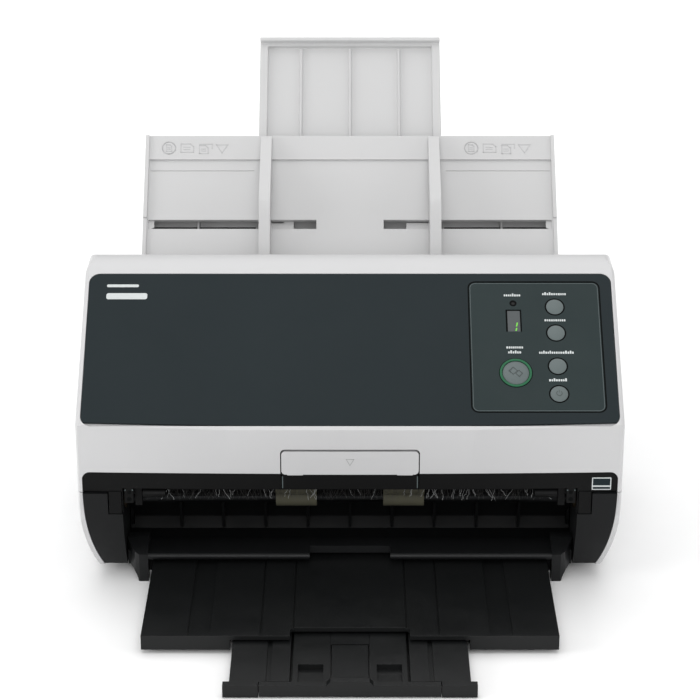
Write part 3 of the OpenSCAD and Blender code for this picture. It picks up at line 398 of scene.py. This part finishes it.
def rounded(x0, y0, x1, y1, r, steps=5):
    """Outline of a rectangle with rounded corners."""
    corners = ((x1 - r, y1 - r, 0), (x0 + r, y1 - r, 90), (x0 + r, y0 + r, 180), (x1 - r, y0 + r, 270))
    points = []
    for cx, cy, start in corners:
        for i in range(steps + 1):
            a = math.radians(start + 90 * i / steps)
            points.append((cx + r * math.cos(a), cy + r * math.sin(a)))
    return points


def ring(cx, cy, r, steps=28, start=0.0, sweep=360.0):
    """Points round a circle, or along an arc of it."""
    angles = [math.radians(start + sweep * i / steps) for i in range(steps)]
    return [(cx + r * math.cos(a), cy + r * math.sin(a)) for a in angles]


def band(bm, inner, outer, low, high):
    """A closed ring between two outlines with as many points each."""
    edges = ((inner, low), (inner, high), (outer, high), (outer, low))
    levels = [[bm.verts.new((x, y, z)) for x, y in outline] for outline, z in edges]
    for a, b in zip(levels, levels[1:] + levels[:1]):
        for i in range(len(a)):
            j = (i + 1) % len(a)
            bm.faces.new((a[i], a[j], b[j], b[i]))


def stroke(bm, points, width, low, high, closed=False):
    """A flat line of the given width along points, as one prism for each stretch."""
    ends = points + [points[0]] if closed else points
    for (ax, ay), (bx, by) in zip(ends, ends[1:]):
        d = Vector((bx - ax, by - ay)).normalized() * width / 2
        prism(bm, [(ax - d.x + d.y, ay - d.y - d.x), (bx + d.x + d.y, by + d.y - d.x),
                   (bx + d.x - d.y, by + d.y + d.x), (ax - d.x - d.y, ay - d.y + d.x)], low, high)


def wire(bm, points, radius, sides):
    """A thin tube through points that don't run along y."""
    turns = [2 * math.pi * k / sides for k in range(sides)]
    rings = []
    for i, p in enumerate(points):
        ahead = points[min(i + 1, len(points) - 1)] - points[max(i - 1, 0)]
        side = ahead.cross(Vector((0, 1, 0.02))).normalized()
        up = ahead.cross(side).normalized()
        rings.append([bm.verts.new(p + radius * (side * math.cos(t) + up * math.sin(t))) for t in turns])
    for a, b in zip(rings, rings[1:]):
        for k in range(sides):
            bm.faces.new((a[k], a[(k + 1) % sides], b[(k + 1) % sides], b[k]))
    bm.faces.new(rings[0][::-1])
    bm.faces.new(rings[-1])


def piece(name, bm, mat, body, place, bevel=0.0):
    """Turns a bmesh in millimetres into a piece that rides on a CAD body."""
    bmesh.ops.recalc_face_normals(bm, faces=bm.faces)
    mesh = bpy.data.meshes.new(name)
    bm.to_mesh(mesh)
    bm.free()
    mesh.transform(Matrix.Scale(MM, 4))
    mesh.transform(place)
    mesh.materials.append(mat)
    obj = bpy.data.objects.new(name, mesh)
    bpy.context.scene.collection.objects.link(obj)
    if bevel:
        mod = obj.modifiers.new("bevel", "BEVEL")
        mod.width = bevel * MM
        mod.segments = 2
        mod.limit_method = "ANGLE"
        mod.angle_limit = math.radians(30)
    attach(obj, body)
    return obj


# ------------------------------------------------------------------ marks on the control panel

out_of_face = -Vector(joint("scan_key_press")["axis"])
up_face = out_of_face.cross(X_AXIS)


def face_at(node, on):
    """Axes at the middle of a node, on the outer surface of another one."""
    at = middle(node)
    return slope_frame(at + out_of_face * (reach(on, out_of_face) - at.dot(out_of_face)), out_of_face)


def panel_piece(name, bm, mat, node, on="control_panel"):
    piece(name, bm, mat, "upper_unit", face_at(node, on))


PRINT_T = 0.06        # how far printed marks stand out
PRINT_SUNK = -0.01    # and where they start, just inside the face
GAP_RISE = 0.03       # painted gap shades end this far above the panel
GAP_SUNK = -0.3       # and start this far inside it
BLOCK_H = 1.35        # height of most blocks in a label
TALL_BLOCK_H = 1.95   # and of a few taller ones
BLOCK_SPACE = 0.32    # between two blocks
BLOCK_DROP = 0.85     # from a label's middle line down to the foot of its blocks


def blocks(bm, width, above):
    """A row of small plain blocks of uneven height, standing for a printed label."""
    x = -width / 2
    foot = above - BLOCK_DROP
    while x < width / 2 - 0.5:
        wide = rng.uniform(0.75, 1.05)
        tall = rng.choice((BLOCK_H, BLOCK_H, BLOCK_H, TALL_BLOCK_H))
        prism(bm, rounded(x, foot, x + wide, foot + tall, 0.3, 2), PRINT_SUNK, PRINT_T)
        x += wide + BLOCK_SPACE


# labels above each key and lamp: node, then height above its middle and width for each line
LABELS = [("function_button", ((8.6, 13.4),)), ("send_button", ((8.4, 12.2),)),
          ("manual_feed_button", ((8.8, 20.0),)), ("power_button", ((8.8, 10.4),)),
          ("scan_ring", ((16.4, 9.4), (13.2, 7.6))), ("status_lamp", ((5.4, 10.0),))]
for node, lines in LABELS:
    bm = bmesh.new()
    for above, width in lines:
        blocks(bm, width, above)
    panel_piece("label_blocks_" + node, bm, PRINT, node)

# painted shade in the gaps round the four small keys, the large key, its lit ring and the lamp, drawn wider
# than the gaps
KEY_R = 4.8
SCAN_KEY_R = 7.3
SCAN_RING_R = 8.9
LAMP_R = 1.0


def round_gap(bm, inner, outer, steps, rise=GAP_RISE):
    band(bm, ring(0, 0, inner, steps), ring(0, 0, outer, steps), GAP_SUNK, rise)


for node in ("function_button", "send_button", "manual_feed_button", "power_button"):
    bm = bmesh.new()
    round_gap(bm, KEY_R + 0.04, KEY_R + 0.85, 48)
    panel_piece("gap_" + node, bm, GAP, node)
bm = bmesh.new()
round_gap(bm, LAMP_R + 0.02, LAMP_R + 1.0, 32)
panel_piece("gap_status_lamp", bm, GAP, "status_lamp")
bm = bmesh.new()
round_gap(bm, SCAN_RING_R + 0.02, SCAN_RING_R + 0.4, 64, GAP_RISE + 0.01)
round_gap(bm, SCAN_KEY_R + 0.02, SCAN_KEY_R + 0.22, 64, GAP_RISE + 0.01)
panel_piece("gap_scan_ring", bm, GAP, "scan_ring")

# painted shadow on the left, right and upper sides of the recessed display window
WINDOW_HALF_X = 4.2
WINDOW_HALF_Y = 7.0
bm = bmesh.new()
for x0, y0, x1 in ((-WINDOW_HALF_X, -WINDOW_HALF_Y, -3.45), (3.6, -WINDOW_HALF_Y, WINDOW_HALF_X),
                   (-3.45, 6.5, 3.6)):
    prism(bm, rectangle(x0, y0, x1, WINDOW_HALF_Y), -0.1, 0.12)
panel_piece("display_window_shadow", bm, GAP, "display_window", "display_window")

# painted shade in the gap round the control inset, and a painted highlight along the edge inside it
inset_low, inset_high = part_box("control_panel")
half_x = (inset_high.x - inset_low.x) / 2 / MM
half_s = (reach("control_panel", up_face) + reach("control_panel", -up_face)) / 2 / MM
INSET_R = 3.5         # corners of the control inset


def inset_outline(grow):
    """The control inset's outline, drawn larger by grow all round."""
    x, y = half_x + grow, half_s + grow
    return rounded(-x, -y, x, y, INSET_R + grow)


inset_place = face_at("control_panel", "cover_panel")
bm = bmesh.new()
band(bm, inset_outline(0.02), inset_outline(0.8), -0.6, GAP_RISE)
piece("gap_control_inset", bm, GAP, "upper_unit", inset_place)
bm = bmesh.new()
band(bm, inset_outline(-0.75), inset_outline(-0.4), -0.3, -0.16)
piece("highlight_control_inset", bm, RIM, "upper_unit", inset_place)

# a plain badge of two bars near the panel's upper left corner
panel_low, panel_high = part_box("cover_panel")
corner = Vector((panel_low.x, panel_high.y, panel_high.z))
corner += out_of_face * (reach("cover_panel", out_of_face) - corner.dot(out_of_face))
BADGE_X = 10.0
bm = bmesh.new()
prism(bm, rounded(BADGE_X, -9.6, BADGE_X + 18.0, -7.8, 0.8), PRINT_SUNK, PRINT_T)
prism(bm, rounded(BADGE_X, -17.6, BADGE_X + 23.0, -13.6, 1.2), PRINT_SUNK, PRINT_T)
piece("panel_badge", bm, PRINT, "upper_unit", slope_frame(corner, out_of_face))

# two lit strokes in the display window: middle and height of each
LEAN = 0.1            # sideways lean of half a stroke, for each millimetre of height
STROKE_HALF = 0.36
bm = bmesh.new()
for u, v, tall in ((1.75, -2.4, 2.5), (1.3, -5.6, 1.9)):
    lean, half = LEAN * tall, tall / 2
    prism(bm, [(u - lean - STROKE_HALF, v - half), (u - lean + STROKE_HALF, v - half),
               (u + lean + STROKE_HALF, v + half), (u + lean - STROKE_HALF, v + half)], -0.02, 0.05)
panel_piece("display_strokes", bm, SEGMENT, "display_window", "display_window")

# raised outline marks on two keys: overlapping squares on their corners, and an open ring with a stroke
bm = bmesh.new()
for cx, cy, r in ((-1.5, 0.8, 2.3), (1.7, -0.9, 1.9)):
    square = [(cx - r, cy), (cx, cy - r), (cx + r, cy), (cx, cy + r)]
    stroke(bm, square, 0.34, -0.05, 0.03, closed=True)
piece("scan_key_mark", bm, DEEP, "scan_key", face_at("scan_button", "scan_button"))
bm = bmesh.new()
stroke(bm, ring(0, 0, 1.5, 20, 125, 300), 0.28, -0.04, 0.03)
stroke(bm, [(0, 0.5), (0, 1.9)], 0.28, -0.04, 0.03)
piece("power_key_mark", bm, DEEP, "power_key", face_at("power_button", "power_button"))

# ------------------------------------------------------------------ latch, label, brush

# front faces look along -Y: local x across, y up, z towards the front
front = Matrix(((1, 0, 0), (0, 0, -1), (0, 1, 0))).to_4x4()


def front_at(x, y, z):
    place = front.copy()
    place.translation = (x, y, z)
    return place


latch_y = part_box("cover_latch")[0].y
latch_place = front_at(0, latch_y, reach("cover_latch", Z_AXIS))
TAB_IN = 25.7
TAB_OUT = 34.5
TAB_LOW = -14.3       # from the latch plate's top
TAB_HIGH = -13.4
bm = bmesh.new()
for x0, x1 in ((-TAB_OUT, -TAB_IN), (TAB_IN, TAB_OUT)):
    prism(bm, rounded(x0, TAB_LOW, x1, TAB_HIGH, 0.4), -2.3, -0.1)
piece("latch_tabs", bm, WHITE, "latch", latch_place, 0.2)
bm = bmesh.new()
stroke(bm, [(-2.1, -4.6), (2.1, -4.6), (0, -8.2)], 0.35, -0.02, 0.05, closed=True)
piece("latch_mark", bm, MARK, "latch", latch_place)

# painted highlights on the end faces at both ends of the dark lip
trim_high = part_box("cover_trim")[1]
LIP_END_X = 37.0
LIP_DROP = 5.0        # from the trim's top down to the middle of the lip
LIP_EDGE_HALF = 0.28
LIP_HALF = 3.6
for side, word in SIDES:
    bm = bmesh.new()
    prism(bm, rounded(-LIP_EDGE_HALF, -LIP_HALF, LIP_EDGE_HALF, LIP_HALF, 0.2, 3), -0.1, 0.06)
    piece("lip_highlight_" + word, bm, RIM, "latch",
          front_patch("latch_bar", side * LIP_END_X * MM, trim_high.z - LIP_DROP * MM))

# plain framed sticker on the right end of the dark trim
sticker_place = front_patch("cover_trim", trim_high.x - 8.7 * MM, trim_high.z - 6.7 * MM)
STICKER_HALF_X = 5.3
STICKER_HALF_Y = 3.7
STICKER_T = 0.3
FRAME_W = 0.55
field_x = STICKER_HALF_X - FRAME_W
field_y = STICKER_HALF_Y - FRAME_W
bm = bmesh.new()
sticker_outline = rounded(-STICKER_HALF_X, -STICKER_HALF_Y, STICKER_HALF_X, STICKER_HALF_Y, 0.4)
prism(bm, sticker_outline, -STICKER_T, STICKER_T)
piece("sticker", bm, PRINT, "upper_unit", sticker_place)
bm = bmesh.new()
for y0, y1 in ((-1.0, field_y), (-field_y, -1.9)):
    prism(bm, rectangle(-field_x, y0, field_x, y1), STICKER_T - 0.02, STICKER_T + 0.04)
piece("sticker_fields", bm, LABEL, "upper_unit", sticker_place)

# antistatic brush: a clamp strip with loose, kinked fibres
brush_low, brush_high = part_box("antistatic_brush")
CLAMP_H = 2.2
bm = bmesh.new()
prism(bm, rectangle(brush_low.x / MM, 0, brush_high.x / MM, CLAMP_H), -0.8, 0)
clamp = piece("brush_clamp", bm, CAVITY_SHADE, "upper_unit",
              front_at(0, brush_low.y, brush_high.z - CLAMP_H * MM), 0.1)
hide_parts("antistatic_brush")
dark_fibres = bmesh.new()
glint_fibres = bmesh.new()
BRUSH_HALF = brush_high.x / MM - 2
KINKS = 4             # bends in a fibre
GLINT_SHARE = 0.16     # of the fibres are lighter grey: painted glints
x = -BRUSH_HALF
while x < BRUSH_HALF:
    x += rng.uniform(0.35, 1.1)
    tall = rng.uniform(3.6, 7.0)
    lean = rng.uniform(-0.7, 0.7)
    points = [Vector((x, rng.uniform(-0.3, 0.3), 0))]
    for k in range(1, KINKS + 1):
        down = tall * k / KINKS
        points.append(Vector((x + lean * down + rng.uniform(-0.45, 0.45), rng.uniform(-0.9, 0.5), -down)))
    if rng.random() < GLINT_SHARE:
        wire(glint_fibres, points, rng.uniform(0.055, 0.095), 4)
    else:
        wire(dark_fibres, points, rng.uniform(0.045, 0.085), 4)
brush_y = (brush_low.y + brush_high.y) / 2
fibre_place = Matrix.Translation((0, brush_y, brush_high.z - 1.9 * MM))
piece("brush_fibres_dark", dark_fibres, BRISTLE, "upper_unit", fibre_place)
piece("brush_fibres_glint", glint_fibres, MARK, "upper_unit", fibre_place)

# end pieces beside the brush: a small block with two holes and two pins, and a sleeve
claw_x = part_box("latch_bar")[1].x / MM
block_x = claw_x + 2.9
BLOCK_LOW = 9.4
BLOCK_HALF = 2.6
SLEEVE_R = 2.5
SLEEVE_POINTS = 7     # along its middle line
sleeve_in = claw_x - 17.3
sleeve_out = claw_x - 4.8
sleeve_step = (sleeve_out - sleeve_in) / (SLEEVE_POINTS - 1)
for side, word in SIDES:
    block_place = front_at(side * block_x * MM, brush_low.y - 2.3 * MM, brush_high.z)
    bm = bmesh.new()
    prism(bm, rounded(-BLOCK_HALF, -BLOCK_LOW, BLOCK_HALF, 0, 0.6), -2.2, 0)
    piece("brush_block_" + word, bm, TRIM, "upper_unit", block_place, 0.25)
    bm = bmesh.new()
    # the two holes are dark discs: painted shade inside them
    for u, v, r in ((-0.2 * side, -2.8, 1.15), (-0.1 * side, -7.0, 1.3)):
        prism(bm, ring(u, v, r, 20), -0.2, 0.04)
    piece("brush_block_holes_" + word, bm, GAP, "upper_unit", block_place)
    bm = bmesh.new()
    for u in (-2.0, 2.0):
        prism(bm, ring(u, -1.4, 0.42, 12), -0.2, 0.3)
    piece("brush_block_pins_" + word, bm, RIM, "upper_unit", block_place)
    middle_line = [Vector((side * (sleeve_in + sleeve_step * k), 0, 0)) for k in range(SLEEVE_POINTS)]
    bm = bmesh.new()
    wire(bm, middle_line, SLEEVE_R, 24)
    piece("brush_sleeve_" + word, bm, TRIM, "upper_unit",
          Matrix.Translation((0, brush_low.y - 1.4 * MM, brush_high.z - 3.4 * MM)), 0.2)

# ------------------------------------------------------------------ marks on the chute

out_of_chute = Vector(joint("guide_wheel_turn")["axis"])
up_chute = out_of_chute.cross(X_AXIS)
RIM_H = 2.6           # the plate's side rims stand this far above its own face
plate_n = reach("chute_plate", out_of_chute) - RIM_H * MM
chute_origin = up_chute * reach("chute_plate", up_chute) + out_of_chute * plate_n
chute_place = slope_frame(chute_origin, out_of_chute)
BAND_N = 1.2          # the raised band at the top stands this far above the plate
MARK_SUNK = BAND_N - 0.05
MARK_TOP = BAND_N + 0.16
MARK_W = 0.5


def outline_mark(bm, points, closed=False):
    stroke(bm, points, MARK_W, MARK_SUNK, MARK_TOP, closed)


def sheet_mark(bm, cx, cy, wide, tall):
    """Outline of a sheet with a folded corner and two lines on it."""
    fold = 0.32 * min(wide, tall)
    w, h = wide / 2, tall / 2
    shape = [(-w, -h), (w, -h), (w, h - fold), (w - fold, h), (-w, h)]
    outline_mark(bm, [(cx + u, cy + v) for u, v in shape], closed=True)
    for k in (-0.35, 0.15):
        line = [(cx - 0.55 * w, cy + k * h), (cx + 0.45 * w, cy + k * h)]
        stroke(bm, line, 0.42, MARK_SUNK, MARK_TOP - 0.02)


MARK_LINE = -8.2      # middle of the row of marks, from the plate's top edge
bm = bmesh.new()
for first in (-109.0, 73.0):
    outline_mark(bm, ring(first, MARK_LINE, 4.0, 26), closed=True)
    sheet_mark(bm, first, MARK_LINE, 3.2, 4.4)
    sheet_mark(bm, first + 11.0, MARK_LINE, 7.6, 5.6)
    outline_mark(bm, [(first + 18.5, -5.6), (first + 26.0, -5.6), (first + 26.0, -8.4)])
    sheet_mark(bm, first + 21.0, -9.2, 5.2, 5.4)
    outline_mark(bm, [(first + 28.5, -6.0), (first + 35.5, -6.0), (first + 32.0, -11.4)], closed=True)
piece("chute_marks", bm, RELIEF, "base", chute_place)

# painted shade: a dark sheet on the floor inside the slots behind the guides' arms; and a light stop at the
# outer end of each slot
SLOT_LOW = -61.1      # from the plate's top edge
SLOT_HIGH = -55.2
SLOT_IN = 56.5        # from the plate's middle line
SLOT_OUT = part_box("chute_plate")[1].x / MM - 3.0
for side, word in SIDES:
    probe = chute_place @ (Vector((side * 80.0, (SLOT_LOW + SLOT_HIGH) / 2, 4.0)) * MM)
    floor_at, _ = hit("chute_back", probe, -out_of_chute)
    floor_n = (floor_at - chute_origin).dot(out_of_chute) / MM
    bm = bmesh.new()
    dim = rectangle(SLOT_IN, SLOT_LOW - 1, SLOT_OUT, SLOT_HIGH + 1)
    prism(bm, [(side * u, v) for u, v in dim][::side], floor_n - 0.2, floor_n + 0.15)
    piece("slot_shade_sheet_" + word, bm, SLOT, "base", chute_place)
    bm = bmesh.new()
    stop = [(SLOT_OUT - 3.4, SLOT_LOW + 1.6), (SLOT_OUT + 0.5, SLOT_LOW - 0.5),
            (SLOT_OUT + 0.5, SLOT_HIGH + 0.5), (SLOT_OUT - 3.4, SLOT_HIGH + 0.5)]
    prism(bm, [(side * u, v) for u, v in stop][::side], -2.4, -1.4)
    piece("slot_stop_" + word, bm, CHUTE, "base", chute_place)

# ------------------------------------------------------------------ floor, light, camera


def area(name, place, target, size, power, size_y=None):
    """A soft lamp that faces a target."""
    light = bpy.data.lights.new(name, "AREA")
    light.energy = power
    light.size = size
    if size_y:
        light.shape = "RECTANGLE"
        light.size_y = size_y
    obj = bpy.data.objects.new(name, light)
    bpy.context.scene.collection.objects.link(obj)
    obj.location = place
    obj.rotation_euler = (Vector(target) - Vector(place)).to_track_quat("-Z", "Y").to_euler()
    return light


FLOOR_HALF = 6.0
floor_corners = [(x, y, 0) for x, y in rectangle(-FLOOR_HALF, -FLOOR_HALF, FLOOR_HALF, FLOOR_HALF)]
floor_mesh = bpy.data.meshes.new("floor")
floor_mesh.from_pydata(floor_corners, [], [(0, 1, 2, 3)])
floor_mesh.materials.append(FLOOR)
floor = bpy.data.objects.new("floor", floor_mesh)
bpy.context.scene.collection.objects.link(floor)

scene = bpy.context.scene
world = bpy.data.worlds.new("studio")
world.use_nodes = True
sky = world.node_tree.nodes["Background"]
sky.inputs["Color"].default_value = (1, 1, 1, 1)
sky.inputs["Strength"].default_value = 0.60
scene.world = world

HEART = (0, 0, 0.10)   # middle of the object, which the front and side lamps face
area("top_softbox", (0, 0.10, 1.6), (0, 0, 0.05), 1.5, 10)
area("front_fill", (0, -1.9, 0.9), HEART, 1.0, 10.5)
area("left_side", (-1.5, -0.5, 0.5), HEART, 0.8, 9)
area("right_side", (1.5, -0.5, 0.5), HEART, 0.8, 4)
# lights only the floor behind the object, which fills the top of the frame
wash = area("floor_wash", (0, 2.6, 2.2), (0, 2.6, 0), 4.0, 60, 2.0)
wash.spread = math.radians(100)

# a long lens straight in front of the object, looking down on it
TILT_DOWN = 22
camera = bpy.data.cameras.new("camera")
camera.sensor_width = 36
camera.lens = 118.29
eye = bpy.data.objects.new("camera", camera)
scene.collection.objects.link(eye)
eye.location = (0, -1.2064, 0.6046)
eye.rotation_euler = (math.radians(90 - TILT_DOWN), 0, 0)
scene.camera = eye
scene.view_settings.view_transform = "Standard"
